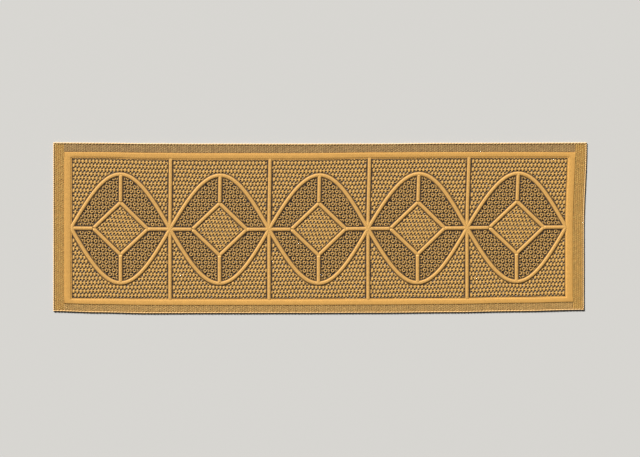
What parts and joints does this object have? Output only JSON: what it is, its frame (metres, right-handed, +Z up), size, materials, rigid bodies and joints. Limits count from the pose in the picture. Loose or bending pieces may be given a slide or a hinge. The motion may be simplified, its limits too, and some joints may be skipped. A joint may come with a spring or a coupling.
{
  "type": "knitted lace stole",
  "caption": "Rectangular knitted lace stole laid flat: openwork panel with raised ribs and rosettes, smooth frame, moss-stitch border and rolled edges.",
  "frame": {"origin": "middle of the stole's underside", "axes": "+X along the length, towards the right selvedge; +Y across, towards the cast-off edge; +Z up, off the surface it lies on"},
  "size_m": [1.5597, 0.4996, 0.0027],
  "materials": {
    "lace": "gold yarn, openwork",
    "smooth_knit": "gold yarn, stocking stitch",
    "moss_knit": "gold yarn, moss stitch",
    "edge_knit": "gold yarn, edge chain"
  },
  "bodies": {
    "root": {"lace_panel": "lace", "frame_top": "smooth_knit", "frame_foot": "smooth_knit", "frame_left": "smooth_knit", "frame_right": "smooth_knit", "moss_top": "moss_knit", "moss_foot": "moss_knit", "moss_left": "moss_knit", "moss_right": "moss_knit", "cast_edge_top": "edge_knit", "cast_edge_foot": "edge_knit", "selvedge_left": "edge_knit", "selvedge_right": "edge_knit"}
  },
  "joints": []
}
